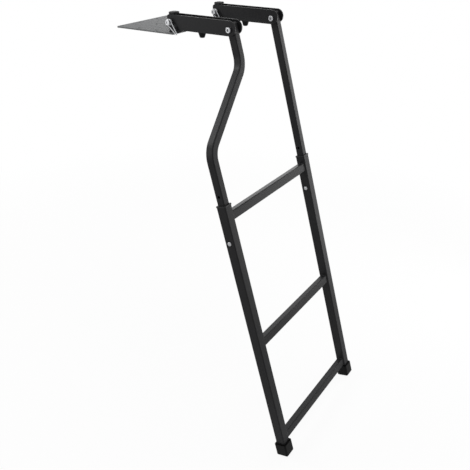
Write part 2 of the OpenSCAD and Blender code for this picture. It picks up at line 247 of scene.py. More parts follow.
BLACK_COAT = Finish("satin_black_powder_coat", Slot.FRAME, (0.018, 0.018, 0.019), 0.4,
                    specular=0.1, grain=0.9, grain_depth=0.012, cloud=60.0, speck=0.3)
GREY_COAT = Finish("grey_textured_powder_coat", Slot.PLATE, (0.163, 0.166, 0.169), 0.62,
                   specular=0.15, grain=1.1, grain_depth=0.06, cloud=25.0, speck=0.8)
CAP_PLASTIC = Finish("fine_grained_black_plastic", Slot.MOULDING, (0.012, 0.012, 0.0125), 0.5,
                     specular=0.25, grain=0.35)
BUMPER_RUBBER = Finish("matt_bumper_rubber", Slot.BUMPER, (0.007, 0.007, 0.0074), 0.7,
                       specular=0.1, grain=0.5)
FOOT_RUBBER = Finish("matt_foot_rubber", Slot.FOOT, (0.003, 0.003, 0.0032), 0.5,
                     specular=0.08, grain=0.5)
BRIGHT_STEEL = Finish("bright_plated_steel", Slot.BRIGHT, (0.37, 0.375, 0.385), 0.36,
                      metallic=1.0, grain=0.25, grain_depth=0.006, stretch=(1.0, 0.02, 0.02),
                      cloud=4.0, contrast=0.2)


@dataclass
class Workshop:
    """Keeps each finish's material, so that it is made once."""

    made: dict[str, bpy.types.Material] = field(default_factory=dict)

    def material(self, finish: Finish) -> bpy.types.Material:
        """The material of a finish.

        Args:
            finish: The finish.

        Returns:
            Its material, which is made at the first call.
        """
        if finish.name not in self.made:
            self.made[finish.name] = finish.build()
        return self.made[finish.name]


@dataclass(frozen=True)
class Layout:
    """The lines that the sub-assemblies share, in millimetres and degrees."""

    hinge: Vector
    pivot: Vector
    lean: float
    bracket_x: float
    left_rail_x: float
    plate_t: float = 3.0
    collar_top: float = 316.0
    upper_w: float = 17.5
    lower_w: float = 22.5
    tube_corner_r: float = 2.5

    @classmethod
    def from_frame(cls, joints: Sequence[dict[str, Any]]) -> "Layout":
        """Reads the hinge lines, the lean and the rails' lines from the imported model.

        Args:
            joints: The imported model's joints.

        Returns:
            The layout.
        """
        by_name = {joint["name"]: joint for joint in joints}
        _, slide_y, slide_z = by_name["rail_slide"]["axis"]
        return cls(hinge=Vector(by_name["arm_fold"]["pos_m"]) / MM,
                   pivot=Vector(by_name["ladder_fold"]["pos_m"]) / MM,
                   lean=math.degrees(math.atan2(slide_y, slide_z)),
                   bracket_x=cls.middle_x("bracket_right"),
                   left_rail_x=cls.middle_x("lower_rail_left"))

    @staticmethod
    def middle_x(node: str) -> float:
        """Where the middle of a CAD node is along X."""
        low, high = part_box(node)
        return (low.x + high.x) / 2 / MM

    def on_hinge(self, side: Side) -> Matrix:
        """The frame of a bracket's hinge line."""
        return Matrix.Translation(self.hinge + Vector((side.value * self.bracket_x, 0, 0)))

    def on_pivot(self, side: Side) -> Matrix:
        """The frame of an arm's pivot line, level like the hinge line's."""
        return Matrix.Translation(self.pivot + Vector((side.value * self.bracket_x, 0, 0)))

    def on_ladder(self, x: float = 0.0, down: float = 0.0) -> Matrix:
        """The frame of the ladder, with Z up the rails and the pivot line as its origin.

        Args:
            x: How far the frame is moved along the rungs.
            down: How far the frame is moved down the rails.

        Returns:
            The frame as a matrix in millimetres.
        """
        tilt = Matrix.Rotation(math.radians(-self.lean), 4, "X")
        return Matrix.Translation(self.pivot) @ tilt @ Matrix.Translation((x, 0.0, -down))


class Shape:
    """A mesh in the making, in millimetres, with the operators that the pieces share."""

    def __init__(self) -> None:
        """Starts with nothing."""
        self.bm = bmesh.new()

    def block(self, low: Sequence[float], high: Sequence[float]) -> None:
        """Adds a box between two corners.

        Args:
            low: The corner with the lowest X, Y and Z.
            high: The corner opposite.
        """
        low, high = Vector(low), Vector(high)
        place = Matrix.Translation((low + high) / 2) @ Matrix.Diagonal((*(high - low), 1.0))
        bmesh.ops.create_cube(self.bm, size=1.0, matrix=place)

    def panel(self, width: float, length: float, radius: float, z: float = 0.0,
              steps: int = 6) -> bmesh.types.BMFace:
        """Adds a flat rectangle in X and Y with round corners.

        Args:
            width: Its size along X.
            length: Its size along Y.
            radius: The radius of its corners.
            z: Its height.
            steps: The number of steps in each corner.

        Returns:
            The face.
        """
        place = Matrix.Translation((0, 0, z)) @ Matrix.Diagonal((width, length, 1.0, 1.0))
        made = bmesh.ops.create_grid(self.bm, x_segments=1, y_segments=1, size=0.5, matrix=place)
        for vert in made["verts"]:
            face = self.round_corner(vert, radius, steps)
        return face

    def round_corner(self, vert: bmesh.types.BMVert, radius: float,
                     steps: int) -> bmesh.types.BMFace:
        """Rounds one corner of a flat face.

        Args:
            vert: The corner.
            radius: The radius.
            steps: The number of steps round it.

        Returns:
            The face as it is then.
        """
        made = bmesh.ops.bevel(self.bm, geom=[vert], offset=radius, offset_type="OFFSET",
                               affect="VERTICES", segments=steps, profile=0.5, material=-1)
        return made["verts"][0].link_faces[0]

    def ring(self, radius: float, sides: int, place: Matrix) -> list[bmesh.types.BMEdge]:
        """Adds a circle of edges about the Z axis of a frame.

        Args:
            radius: Its radius.
            sides: The number of its sides.
            place: The frame.

        Returns:
            Its edges.
        """
        made = bmesh.ops.create_circle(self.bm, cap_ends=False, segments=sides, radius=radius,
                                       matrix=place)
        return list(dict.fromkeys(edge for vert in made["verts"] for edge in vert.link_edges))

    def outline(self, face: bmesh.types.BMFace) -> list[bmesh.types.BMEdge]:
        """Takes a face away and keeps its edges.

        Args:
            face: The face.

        Returns:
            Its edges.
        """
        edges = list(face.edges)
        bmesh.ops.delete(self.bm, geom=[face], context="FACES_ONLY")
        return edges

    def fill(self, edges: Iterable[bmesh.types.BMEdge]) -> list[bmesh.types.BMFace]:
        """Fills a flat outline and leaves the loops inside it open."""
        made = bmesh.ops.triangle_fill(self.bm, edges=list(edges), use_beauty=True)["geom"]
        return [geom for geom in made if isinstance(geom, bmesh.types.BMFace)]

    def punch(self, place: Matrix, radius: float,
              sides: int = HOLE_SIDES) -> list[bmesh.types.BMEdge]:
        """Opens a round hole in the flat face at the origin of a frame, whose Z leaves the face.

        Args:
            place: The frame.
            radius: The radius of the hole.
            sides: The number of its sides.

        Returns:
            The rim of the hole.
        """
        centre, normal = place.translation, place.col[2].xyz
        self.bm.normal_update()
        face = next(f for f in self.bm.faces if abs(f.normal.dot(normal)) > SAME_WAY
                    and abs((f.verts[0].co - centre).dot(normal)) < SAME_PLANE
                    and bmesh.geometry.intersect_face_point(f, centre))
        rim = self.ring(radius, sides, place)
        self.fill(self.outline(face) + rim)
        return rim

    def cut_across(self, z: float, room: float) -> None:
        """Cuts the skin above and below a level, which sets a hole's own faces apart.

        Args:
            z: The level.
            room: How far from it the cuts are.
        """
        for level in (z - room, z + room):
            geom = [*self.bm.verts, *self.bm.edges, *self.bm.faces]
            bmesh.ops.bisect_plane(self.bm, geom=geom, dist=MERGE_GAP, plane_co=(0, 0, level),
                                   plane_no=(0, 0, 1))

    def thicken(self, faces: Iterable[bmesh.types.BMFace], move: Sequence[float]) -> None:
        """Turns flat faces into a plate.

        Args:
            faces: The faces, which stay as one side of the plate.
            move: From them to the other side.
        """
        made = bmesh.ops.extrude_face_region(self.bm, geom=list(faces),
                                             use_keep_orig=True)["geom"]
        verts = [geom for geom in made if isinstance(geom, bmesh.types.BMVert)]
        bmesh.ops.translate(self.bm, verts=verts, vec=Vector(move))

    def raise_face(self, face: bmesh.types.BMFace, move: Sequence[float]) -> bmesh.types.BMFace:
        """Extrudes a face and keeps the old one as the other end.

        Args:
            face: The face.
            move: From the old face to the new one.

        Returns:
            The new face.
        """
        made = bmesh.ops.extrude_face_region(self.bm, geom=[face], use_keep_orig=True)["geom"]
        top = next(geom for geom in made if isinstance(geom, bmesh.types.BMFace))
        bmesh.ops.translate(self.bm, verts=list(top.verts), vec=Vector(move))
        return top

    def draw_in(self, face: bmesh.types.BMFace, inset: float, move: Sequence[float]) -> None:
        """Draws a face in from its edges and then moves it."""
        bmesh.ops.inset_region(self.bm, faces=[face], thickness=inset, use_even_offset=True)
        bmesh.ops.translate(self.bm, verts=list(face.verts), vec=Vector(move))

    def step_face(self, face: bmesh.types.BMFace, inset: float,
                  move: Sequence[float]) -> bmesh.types.BMFace:
        """Draws a face in and raises or sinks it with upright sides.

        Args:
            face: The face.
            inset: How far it is drawn in.
            move: How far it is raised or sunk.

        Returns:
            The face at the end.
        """
        self.draw_in(face, inset, (0, 0, 0))
        made = bmesh.ops.extrude_discrete_faces(self.bm, faces=[face])["faces"][0]
        bmesh.ops.translate(self.bm, verts=list(made.verts), vec=Vector(move))
        return made

    def lead(self, edges: list[bmesh.types.BMEdge], move: Matrix) -> list[bmesh.types.BMEdge]:
        """Leads an outline one step.

        Args:
            edges: The outline.
            move: The step.

        Returns:
            The outline at the end of the step.
        """
        made = bmesh.ops.extrude_edge_only(self.bm, edges=edges)["geom"]
        verts = {geom for geom in made if isinstance(geom, bmesh.types.BMVert)}
        bmesh.ops.transform(self.bm, matrix=move, verts=list(verts))
        return [geom for geom in made if isinstance(geom, bmesh.types.BMEdge)
                and verts.issuperset(geom.verts)]

    def bend(self, edges: list[bmesh.types.BMEdge], centre: Sequence[float],
             axis: Sequence[float], degrees: float, steps: int) -> list[bmesh.types.BMEdge]:
        """Leads an outline round a bend.

        Args:
            edges: The outline.
            centre: The middle of the bend.
            axis: The line that it turns about.
            degrees: How far it turns, by the right-hand rule.
            steps: The number of steps.

        Returns:
            The outline at the end of the bend.
        """
        verts = list(dict.fromkeys(vert for edge in edges for vert in edge.verts))
        made = bmesh.ops.spin(self.bm, geom=verts + edges, cent=Vector(centre), axis=Vector(axis),
                              dvec=(0, 0, 0), angle=math.radians(degrees), steps=steps,
                              use_merge=False, use_normal_flip=False, use_duplicate=False)
        return [geom for geom in made["geom_last"] if isinstance(geom, bmesh.types.BMEdge)]

    def cap(self, edges: list[bmesh.types.BMEdge]) -> None:
        """Closes the open ends that some edges go round."""
        bmesh.ops.holes_fill(self.bm, edges=edges, sides=0)

    def turned(self, profile: Sequence[tuple[float, float]], steps: int = 48) -> None:
        """Turns a profile about X.

        Args:
            profile: Places along X with their radii, from one end to the other.
            steps: The number of steps round the turn.
        """
        verts = [self.bm.verts.new((x, radius, 0.0)) for x, radius in profile]
        edges = [self.bm.edges.new(pair) for pair in zip(verts, verts[1:])]
        bmesh.ops.spin(self.bm, geom=verts + edges, cent=(0, 0, 0), axis=(1, 0, 0), dvec=(0, 0, 0),
                       angle=math.tau, steps=steps, use_merge=True, use_normal_flip=False,
                       use_duplicate=False)
        bmesh.ops.remove_doubles(self.bm, verts=list(self.bm.verts), dist=MERGE_GAP)

    def open_edges(self) -> list[bmesh.types.BMEdge]:
        """The edges with a face on one side only."""
        return [edge for edge in self.bm.edges if edge.is_boundary]

    def round_edges(self, edges: Iterable[bmesh.types.BMEdge], radius: float,
                    steps: int = 2) -> None:
        """Rounds some edges.

        Args:
            edges: The edges.
            radius: The radius.
            steps: The number of steps across the rounding.
        """
        bmesh.ops.bevel(self.bm, geom=list(edges), offset=radius, offset_type="OFFSET",
                        affect="EDGES", segments=steps, profile=0.5, material=-1,
                        clamp_overlap=True)

    def soften(self, radius: float, angle: float = 35.0) -> None:
        """Rounds each sharp edge.

        Args:
            radius: The radius.
            angle: How far the faces turn at an edge that is sharp, in degrees.
        """
        self.clean()
        self.round_edges([edge for edge in self.bm.edges if edge.is_manifold
                          and edge.calc_face_angle(0.0) > math.radians(angle)], radius)

    def clean(self) -> None:
        """Merges doubles and points the faces outwards."""
        bmesh.ops.remove_doubles(self.bm, verts=list(self.bm.verts), dist=MERGE_GAP)
        bmesh.ops.recalc_face_normals(self.bm, faces=list(self.bm.faces))

    def wall(self, thickness: float) -> None:
        """Gives an open skin a wall that grows inwards."""
        self.clean()
        bmesh.ops.solidify(self.bm, geom=list(self.bm.faces), thickness=thickness)

    def place(self, matrix: Matrix) -> None:
        """Moves the whole shape."""
        bmesh.ops.transform(self.bm, matrix=matrix, verts=list(self.bm.verts))

    def make(self, name: str, finish: Finish, body: str, workshop: Workshop,
             stands_for: str | None = None, sharp: float = 32.0) -> None:
        """Finishes the shape as one piece on one body.

        Args:
            name: The piece's name.
            finish: Its finish.
            body: The CAD body that it moves with.
            workshop: Where the materials are kept.
            stands_for: The CAD node that it replaces.
            sharp: The angle in degrees from which an edge stays sharp.
        """
        self.clean()
        bmesh.ops.scale(self.bm, vec=(MM, MM, MM), verts=list(self.bm.verts))
        mesh = bpy.data.meshes.new(name)
        self.bm.to_mesh(mesh)
        self.bm.free()
        mesh.shade_smooth()
        mesh.set_sharp_from_angle(angle=math.radians(sharp))
        piece = bpy.data.objects.new(name, mesh)
        bpy.context.scene.collection.objects.link(piece)
        mesh.materials.append(workshop.material(finish))
        piece.modifiers.new("even_normals", "WEIGHTED_NORMAL").keep_sharp = True
        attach(piece, body)
        if stands_for:
            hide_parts(stands_for)
        LOG.info("%s on %s, %d faces", name, body, len(mesh.polygons))


class WeldBead(Shape):
    """A weld bead with the ripples of its drops, along a line."""

    def __init__(self, radius: float, corners: Sequence[Vector], closed: bool,
                 pitch: float = 1.2, ripple: float = 0.12, sides: int = 8) -> None:
        """Leads a round outline along the line.

        Args:
            radius: The radius of the bead.
            corners: The corners of the line.
            closed: Whether its end joins its start.
            pitch: The distance from drop to drop.
            ripple: The share by which every other ring is fuller.
            sides: The number of sides of the bead.
        """
        super().__init__()
        frames = self.frames(self.drops(corners, closed, pitch), closed, ripple)
        start = end = self.ring(radius, sides, frames[0])
        for last, here in zip(frames, frames[1:]):
            end = self.lead(end, here @ last.inverted())
        if closed:
            bmesh.ops.bridge_loops(self.bm, edges=start + end)
        else:
            self.cap(start + end)

    @staticmethod
    def drops(corners: Sequence[Vector], closed: bool, pitch: float) -> list[Vector]:
        """Divides the line into drops of weld.

        Args:
            corners: The corners of the line.
            closed: Whether its end joins its start.
            pitch: The distance from drop to drop.

        Returns:
            The middle of each drop.
        """
        ends = [*corners, corners[0]] if closed else list(corners)
        points = []
        for a, b in zip(ends, ends[1:]):
            count = max(1, round((b - a).length / pitch))
            points += [a.lerp(b, i / count) for i in range(count)]
        return points if closed else points + [ends[-1]]

    @staticmethod
    def frames(line: Sequence[Vector], closed: bool, ripple: float) -> list[Matrix]:
        """Works out the frame of each ring of the bead.

        Args:
            line: The middle of each drop.
            closed: Whether the line's end joins its start.
            ripple: The share by which every other ring is fuller.

        Returns:
            The frames, with Z along the line and the ripple as their scale.
        """
        made = []
        for i, point in enumerate(line):
            before = line[i - 1] if closed or i else point
            after = line[(i + 1) % len(line)] if closed or i < len(line) - 1 else point
            turn = (after - before).to_track_quat("Z", "Y").to_matrix().to_4x4()
            size = 1 + ripple * (1 if i % 2 else -1)
            made.append(Matrix.Translation(point) @ turn @ Matrix.Scale(size, 4))
        return made


@dataclass
class MountingPlate:
    """The drilled plate and the two posts that are welded to it."""

    layout: Layout
    workshop: Workshop
    width: float = 200.0
    length: float = 164.0
    corner_r: float = 4.0
    hole_r: float = 3.25
    hole_columns: tuple[float, ...] = (-90.0, -30.0, 30.0, 90.0)
    hole_rows: tuple[float, ...] = (73.0, 23.0, -27.0)
    edge_round: float = 0.3
    post_w: float = 18.0
    post_l: float = 16.0
    post_h: float = 42.0
    post_corner_r: float = 2.0
    post_top_r: float = 3.0
    post_wall: float = 3.0
    bore_r: float = 4.1
    bead_r: float = 2.0
    bead_sink: float = 0.3

    def build(self) -> None:
        """Makes the plate, the posts and their weld beads."""
        self.plate()
        for side in Side:
            self.post(side)
            self.weld(side)

    def plate(self) -> None:
        """The plate with its holes."""
        shape = Shape()
        edges = shape.outline(shape.panel(self.width, self.length, self.corner_r))
        for x in self.hole_columns:
            for y in self.hole_rows:
                edges += shape.ring(self.hole_r, HOLE_SIDES, Matrix.Translation((x, y, 0)))
        shape.thicken(shape.fill(edges), (0, 0, self.layout.plate_t))
        shape.soften(self.edge_round)
        shape.make("drilled_plate", GREY_COAT, "base", self.workshop, "mounting_plate")

    def post(self, side: Side) -> None:
        """A hollow upright post with a closed round top, bored for the pull pin.

        Args:
            side: The side that it is on.
        """
        shape = Shape()
        half_w, half_l, wall = self.post_w / 2, self.post_l / 2, self.post_wall
        shape.block((-half_w, -half_l, 0), (half_w, half_l, self.post_h))
        top = [edge for edge in shape.bm.edges
               if min(vert.co.z for vert in edge.verts) > self.post_h - MERGE_GAP]
        shape.round_edges(top, self.post_top_r, CORNER_STEPS)
        upright = [edge for edge in shape.bm.edges if edge.calc_length() > self.post_h / 2]
        shape.round_edges(upright, self.post_corner_r, CORNER_STEPS)
        shape.block((wall - half_w, wall - half_l, 0),
                    (half_w - wall, half_l - wall, self.post_h - wall))
        ends = [face for face in shape.bm.faces if face.calc_center_median().z < MERGE_GAP]
        shape.fill([edge for face in ends for edge in shape.outline(face)])
        height = self.layout.hinge.z - self.layout.plate_t
        for way in (-1, 1):
            rims = [shape.punch(Matrix.Translation((way * x, 0, height)) @ ALONG_X, self.bore_r)
                    for x in (half_w, half_w - wall)]
            bmesh.ops.bridge_loops(shape.bm, edges=rims[0] + rims[1])
        shape.place(self.layout.on_hinge(side) @ Matrix.Translation((0, 0, -height)))
        shape.make(f"{side.label}_post", BLACK_COAT, "base", self.workshop,
                   f"bracket_{side.label}")

    def weld(self, side: Side) -> None:
        """The weld bead behind a post.

        Args:
            side: The side that it is on.
        """
        half = self.post_w / 2 - self.post_corner_r
        low = self.layout.plate_t + self.bead_sink - self.layout.hinge.z
        bead = WeldBead(self.bead_r, [Vector((x, self.post_l / 2, low)) for x in (-half, half)],
                        False)
        bead.place(self.layout.on_hinge(side))
        bead.make(f"{side.label}_post_weld", BLACK_COAT, "base", self.workshop, sharp=WELD_SHARP)


@dataclass
class PullPins:
    """The two pull pins that the arms fold on, each with its wire loop."""

    layout: Layout
    workshop: Workshop
    pin_r: float = 4.0
    seat_x: float = -13.5
    flange_r: float = 6.5
    flange_t: float = 4.0
    groove_r: float = 4.5
    groove_l: float = 4.0
    knob_r: float = 5.5
    knob_t: float = 3.0
    recess_r: float = 2.5
    recess_t: float = 1.5
    tip_x: float = 16.0
    taper_l: float = 2.5
    taper_r: float = 2.5
    edge: float = 0.5
    wire_r: float = 1.2
    wire_sides: int = 12
    eye_steps: int = 28
    loop_end_r: float = 1.8
    loop_end_steps: int = 12
    loop_reach: float = 30.0
    loop_swing: float = 41.0
    loop_gap: float = 0.1

    def build(self) -> None:
        """Makes both pins and loops."""
        for side in Side:
            self.pin(side)
            self.loop(side)

    def pin(self, side: Side) -> None:
        """A turned pin with a grooved head, a hollow in its knob and a tapered tip.

        Args:
            side: The side that it is on.
        """
        flange = self.seat_x - self.flange_t
        knob = flange - self.groove_l
        end = knob - self.knob_t
        tip = self.tip_x + self.taper_l
        e = self.edge
        shape = Shape()
        shape.turned([
            (end + self.recess_t, 0), (end + self.recess_t, self.recess_r),
            (end + e, self.recess_r), (end, self.recess_r + e), (end, self.knob_r - e),
            (end + e, self.knob_r), (knob - e, self.knob_r), (knob, self.knob_r - e),
            (knob, self.groove_r), (flange, self.groove_r), (flange, self.flange_r - e),
            (flange + e, self.flange_r), (self.seat_x - e, self.flange_r),
            (self.seat_x, self.flange_r - e), (self.seat_x, self.pin_r), (self.tip_x, self.pin_r),
            (tip, self.taper_r), (tip, 0)])
        shape.place(self.layout.on_hinge(side))
        shape.make(f"{side.label}_hinge_pin", BRIGHT_STEEL, f"pull_pin_{side.label}",
                   self.workshop, f"pull_pin_{side.label}")

    def loop(self, side: Side) -> None:
        """The wire loop that hangs in the groove of the pin's head.

        Args:
            side: The side that it is on.
        """
        big = self.groove_r + self.wire_r + self.loop_gap
        reach = self.loop_reach - self.loop_end_r
        slope = math.asin((big - self.loop_end_r) / reach)
        leg = reach * math.cos(slope)
        shape = Shape()
        across = Matrix.Rotation(-slope, 4, "X") @ Matrix.Translation((0, big, 0))
        start = shape.ring(self.wire_r, self.wire_sides, across)
        end = shape.bend(start, (0, 0, 0), (1, 0, 0), 180 + 2 * math.degrees(slope),
                         self.eye_steps)
        down = Vector((0, math.sin(slope), -math.cos(slope))) * leg
        end = shape.lead(end, Matrix.Translation(down))
        end = shape.bend(end, (0, 0, -reach), (1, 0, 0), 180 - 2 * math.degrees(slope),
                         self.loop_end_steps)
        bmesh.ops.bridge_loops(shape.bm, edges=start + end)
        groove_x = self.seat_x - self.flange_t - self.groove_l / 2
        shape.place(self.layout.on_hinge(side) @ Matrix.Translation((groove_x, 0, 0))
                    @ Matrix.Rotation(math.radians(-self.loop_swing), 4, "X"))
        shape.make(f"{side.label}_wire_loop", BRIGHT_STEEL, f"pull_pin_{side.label}",
                   self.workshop, f"pull_loop_{side.label}")


@dataclass
class Arms:
    """The two channel-shaped arms with their studs, bumpers and pivot bolts."""

    layout: Layout
    workshop: Workshop
    width: float = 26.0
    height: float = 30.0
    sheet: float = 3.0
    rear: float = 9.0
    corner_r: float = 5.0
    heel_back: float = 2.0
    heel_flat: float = 17.0
    heel_l: float = 34.0
    heel_z: float = -21.5
    heel_round: float = 2.0
    web_rear: float = -24.0
    web_front: float = -143.05
    nose_steps: int = 12
    edge_round: float = 0.5
    pin_bore_r: float = 4.1
    bolt_r: float = 4.0
    stud_r: float = 4.5
    stud_step: float = 1.0
    stud_edge: float = 0.3
    stud_y: float = -15.0
    stud_z: float = -12.5
    bumper_y: float = -73.0
    bumper_drop: float = 2.0
    bumper_top_r: float = 9.0
    bumper_tip_r: float = 6.0
    bumper_edge_r: float = 3.0
    bumper_steps: int = 40
    stem_r: float = 3.0
    button_r: float = 5.5
    button_t: float = 2.5
    head_r: float = 5.75
    head_t: float = 5.0
    socket_r: float = 3.0
    socket_t: float = 3.0
    nut_r: float = 6.5
    nut_t: float = 6.0
    nut_hex_share: float = 0.6
    nut_collar_r: float = 4.9

    def build(self) -> None:
        """Makes both arms."""
        for side in Side:
            self.channel(side)
            self.stud(side)
            self.bumper(side)
            self.bolt(side)

    def cheek(self, shape: Shape, x: float) -> None:
        """Adds one side of the channel with its two bores.

        Args:
            shape: The arm in the making, with the hinge line as its origin.
            x: Where the sheet's left face is.
        """
        top = self.height / 2
        front = self.layout.pivot.y - self.layout.hinge.y
        drop = self.layout.pivot.z - self.layout.hinge.z
        corners = {
            (self.rear, top): self.corner_r, (front - top, top): top - MERGE_GAP,
            (front - top, -top): top - MERGE_GAP, (-self.heel_back - self.heel_l, -top): 0.0,
            (-self.heel_back - self.heel_flat, self.heel_z): self.heel_round,
            (-self.heel_back, self.heel_z): self.heel_round, (self.rear, -self.rear): 0.0}
        verts = [shape.bm.verts.new((x, y, z)) for y, z in corners]
        face = shape.bm.faces.new(verts)
        for vert, radius in zip(verts, corners.values()):
            if radius:
                steps = self.nose_steps if radius > self.corner_r else CORNER_STEPS
                face = shape.round_corner(vert, radius, steps)
        edges = shape.outline(face)
        for y, z, radius in ((0, 0, self.pin_bore_r), (front, drop, self.bolt_r)):
            edges += shape.ring(radius, HOLE_SIDES, Matrix.Translation((x, y, z)) @ ALONG_X)
        shape.thicken(shape.fill(edges), (self.sheet, 0, 0))

    def channel(self, side: Side) -> None:
        """The two cheeks and the web between them.

        Args:
            side: The side that it is on.
        """
        shape = Shape()
        for x in (-self.width / 2, self.width / 2 - self.sheet):
            self.cheek(shape, x)
        inner, low = self.width / 2 - self.sheet, -self.height / 2
        shape.block((-inner, self.web_front, low), (inner, self.web_rear, low + self.sheet))
        shape.soften(self.edge_round)
        shape.place(self.layout.on_hinge(side))
        shape.make(f"{side.label}_arm", BLACK_COAT, "arms", self.workshop, f"arm_{side.label}")

    def stud(self, side: Side) -> None:
        """The stepped round stud on the heel.

        Args:
            side: The side that it is on.
        """
        r, s, e = self.stud_r, self.stud_step, self.stud_edge
        shape = Shape()
        shape.turned([(0, 0), (0, r), (e - 2 * s, r), (-2 * s, r - e), (-2 * s, r - s),
                      (e - 3 * s, r - s), (-3 * s, r - s - e), (-3 * s, 0)])
        shape.place(self.layout.on_hinge(side)
                    @ Matrix.Translation((-self.width / 2, self.stud_y, self.stud_z)))
        shape.make(f"{side.label}_heel_stud", BLACK_COAT, "arms", self.workshop,
                   f"heel_stud_{side.label}")

    def bumper(self, side: Side) -> None:
        """A tapered rubber bumper, its stem through the web and the button above the web.

        Args:
            side: The side that it is on.
        """
        web = self.layout.hinge.z - self.height / 2
        rise = web + self.bumper_drop
        button = rise + self.sheet
        edge, tip, big = self.bumper_edge_r, self.bumper_tip_r, self.bumper_top_r
        e = self.edge_round
        profile = [(0.0, 0.0)]
        profile += [(edge * (1 - math.cos(a)), tip - edge * (1 - math.sin(a)))
                    for a in QUARTER_TURN]
        profile += [(rise - e, big - e / 3), (rise, big - e), (rise, self.stem_r),
                    (button, self.stem_r), (button, self.button_r),
                    (button + self.button_t - 2 * e, self.button_r),
                    (button + self.button_t - e / 2, self.button_r - e),
                    (button + self.button_t, self.button_r - 3 * e), (button + self.button_t, 0)]
        shape = Shape()
        shape.turned(profile, self.bumper_steps)
        shape.place(self.layout.on_hinge(side) @ Matrix.Translation(
            (0, self.bumper_y, -self.bumper_drop - self.layout.hinge.z)) @ UPRIGHT)
        shape.make(f"{side.label}_rubber_bumper", BUMPER_RUBBER, "arms", self.workshop,
                   f"bumper_{side.label}")

    def bolt(self, side: Side) -> None:
        """The pivot bolt with a hexagonal socket in its head and a lock nut on its end.

        Args:
            side: The side that it is on.
        """
        half, e = self.width / 2, self.edge_round
        head, nut = -half - self.head_t, half + self.nut_t
        shape = Shape()
        shape.turned([(head, self.head_r - 2 * e), (head + e, self.head_r - e / 2),
                      (head + 2 * e, self.head_r), (-half, self.head_r), (-half, self.bolt_r),
                      (half, self.bolt_r), (half, 0)])
        rim = shape.open_edges()
        socket = shape.ring(self.socket_r, 6, Matrix.Translation((head, 0, 0)) @ HEX_ALONG_X)
        shape.fill(rim + socket)
        shape.cap(shape.lead(socket, Matrix.Translation((self.socket_t, 0, 0))))
        collar = self.nut_collar_r
        shape.turned([(half + e, 0), (half + e, collar), (nut - e, collar), (nut, collar - e),
                      (nut, self.bolt_r), (nut - e, self.bolt_r - e), (nut - e, 0)])
        flats = shape.ring(self.nut_r, 6, Matrix.Translation((half, 0, 0)) @ HEX_ALONG_X)
        end = shape.lead(flats, Matrix.Translation((self.nut_t * self.nut_hex_share, 0, 0)))
        shape.cap(flats)
        shape.cap(end)
        shape.clean()
        flat = max((f for f in shape.bm.faces if f.normal.x > SAME_WAY and len(f.verts) == 6),
                   key=lambda f: f.calc_area())
        shape.draw_in(flat, 2 * e, (e, 0, 0))
        shape.place(self.layout.on_pivot(side))
        shape.make(f"{side.label}_pivot_bolt", BRIGHT_STEEL, "arms", self.workshop,
                   f"pivot_bolt_{side.label}")


